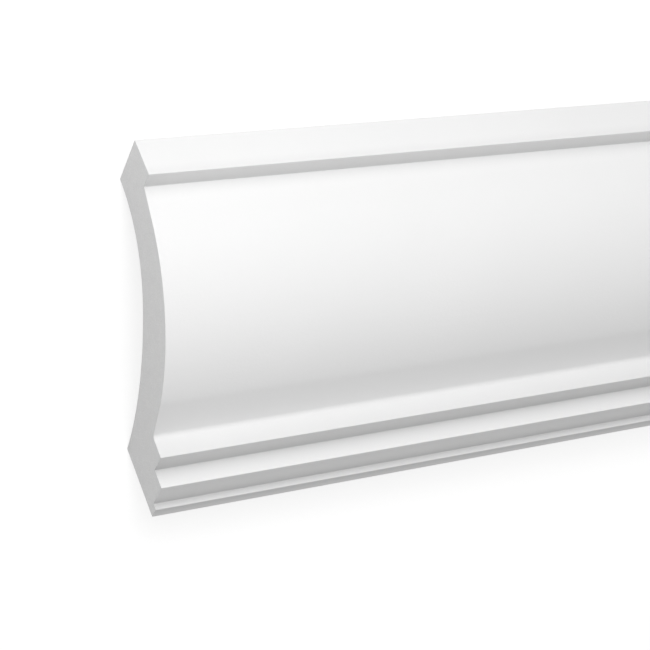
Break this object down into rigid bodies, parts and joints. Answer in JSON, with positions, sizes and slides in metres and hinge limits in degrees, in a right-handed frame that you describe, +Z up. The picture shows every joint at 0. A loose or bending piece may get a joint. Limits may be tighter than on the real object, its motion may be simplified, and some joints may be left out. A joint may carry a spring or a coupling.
{
  "type": "cornice moulding",
  "caption": "Straight length of plain white cornice with a rounded ovolo face, a flat fascia, a stepped foot and a hollow back, glued into the corner of wall and ceiling.",
  "frame": {"origin": "middle of the length and of the width, on the floor that the two back edges lie on", "axes": "+X along the stock, +Y from the wall edge to the ceiling edge, +Z up out of the show face"},
  "size_m": [2, 0.1412, 0.0387],
  "materials": {
    "primed_foam": "smooth white primer, matt, on rigid moulded polyurethane foam"
  },
  "bodies": {
    "root": {"cornice_moulding": "primed_foam"}
  },
  "joints": []
}
